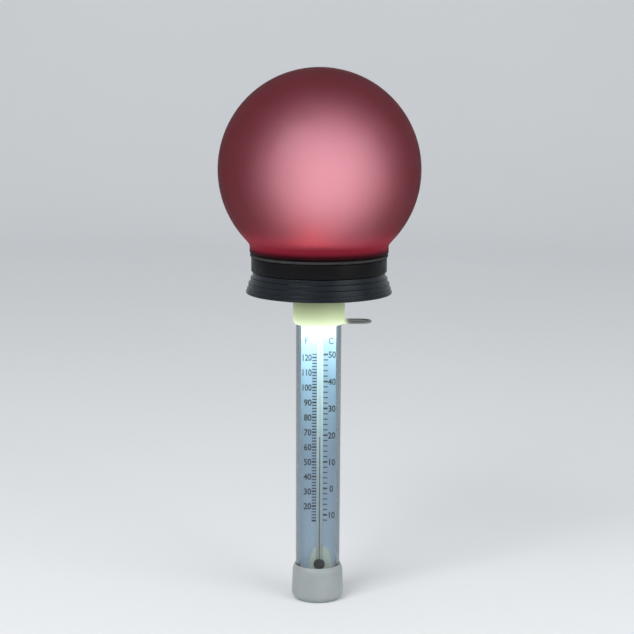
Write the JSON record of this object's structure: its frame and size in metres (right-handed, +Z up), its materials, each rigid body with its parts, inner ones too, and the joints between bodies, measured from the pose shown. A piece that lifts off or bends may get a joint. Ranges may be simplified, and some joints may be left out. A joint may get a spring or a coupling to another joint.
{
  "type": "floating pool thermometer",
  "caption": "Upright floating pool thermometer: light-up ball float on a stepped base, clear tube with a scale card and glass stem, weighted foot cap and a tether tab.",
  "frame": {"origin": "centre of the bottom cap's flat base", "axes": "+Z up along the tube towards the globe; the scale card faces -Y; the tether tab points to +X"},
  "size_m": [0.112, 0.112, 0.2995],
  "materials": {
    "globe_plastic": "translucent, softly glossy, lit from inside",
    "collar_plastic": "black, fine matt moulding",
    "base_plastic": "dark navy, satin",
    "top_cap_plastic": "cream, translucent, satin",
    "bottom_cap_plastic": "light grey, satin",
    "clear_plastic": "clear, glossy",
    "clear_glass": "clear, polished",
    "card_plastic": "blue-grey card with a printed scale",
    "red_spirit": "dyed liquid",
    "seat_silicone": "translucent yellowish sealant",
    "black_rubber": "matt",
    "white_plastic": "white, satin",
    "steel": "plated",
    "board_laminate": "green laminate with tracks",
    "cell_wrap": "plain wrapped cell",
    "lamp_red": "clear red lamp body",
    "lamp_green": "clear green lamp body",
    "lamp_blue": "clear blue lamp body",
    "lamp_white": "clear lamp body, lit white",
    "wire_red": "insulated lead",
    "wire_black": "insulated lead"
  },
  "bodies": {
    "root": {"bottom_cap": "bottom_cap_plastic", "bottom_seal": "black_rubber", "ballast_weight": "steel", "clear_tube": "clear_plastic", "stem_holder": "clear_plastic", "scale_card": "card_plastic", "glass_stem": "clear_glass", "bulb_seat": "seat_silicone", "spirit_pool": "red_spirit", "spirit_thread": "red_spirit", "top_cap": "top_cap_plastic", "tube_seal": "black_rubber", "cap_gasket": "black_rubber", "tube_nut": "collar_plastic", "light_lens": "clear_plastic", "downlight_led": "lamp_white", "downlight_board": "board_laminate", "lead_wire_red": "wire_red", "lead_wire_black": "wire_black", "base_shell": "base_plastic", "threaded_collar": "collar_plastic", "battery_tray": "white_plastic", "tact_switch": "collar_plastic", "control_board": "board_laminate", "control_chip": "collar_plastic", "cover_gasket": "black_rubber", "battery_1": "cell_wrap", "cell_spring_1": "steel", "cell_contact_1": "steel", "battery_2": "cell_wrap", "cell_spring_2": "steel", "cell_contact_2": "steel", "battery_3": "cell_wrap", "cell_spring_3": "steel", "cell_contact_3": "steel", "base_screw_1": "steel", "base_screw_2": "steel", "base_screw_3": "steel", "base_screw_4": "steel", "tray_screw_1": "steel", "tray_screw_2": "steel"},
    "cover": {"battery_cover": "white_plastic", "led_board": "board_laminate", "led_red": "lamp_red", "led_green": "lamp_green", "led_blue": "lamp_blue", "cover_screw_1": "steel", "cover_screw_2": "steel", "cover_screw_3": "steel", "cover_screw_4": "steel"},
    "button": {"power_button": "black_rubber"},
    "globe_turning": {"globe_seal": "black_rubber"},
    "globe_body": {"globe": "globe_plastic"},
    "reading": {"spirit_meniscus": "red_spirit"}
  },
  "joints": [
    {"name": "cover_lift", "type": "slide", "parent": "root", "child": "cover", "axis": [0, 0, 1], "range_m": [0, 0.025]},
    {"name": "button_press", "type": "slide", "parent": "root", "child": "button", "axis": [0, 0, 1], "range_m": [0, 0.001], "stiffness_N_per_m": 300, "springref_m": -0.001},
    {"name": "globe_turn", "type": "hinge", "parent": "root", "child": "globe_turning", "pos_m": [0, 0, 0.1977], "axis": [0, 0, 1], "range_deg": [0, 810]},
    {"name": "globe_lift", "type": "slide", "parent": "globe_turning", "child": "globe_body", "axis": [0, 0, 1], "range_m": [0, 0.0091]},
    {"name": "spirit_reading", "type": "slide", "parent": "root", "child": "reading", "axis": [0, 0, 1], "range_m": [-0.0497, 0.0463], "deforming": ["spirit_thread"]}
  ],
  "couplings": [
    {"joint": "globe_lift", "follows": "globe_turn", "m_per_rad": 0.00063662}
  ]
}
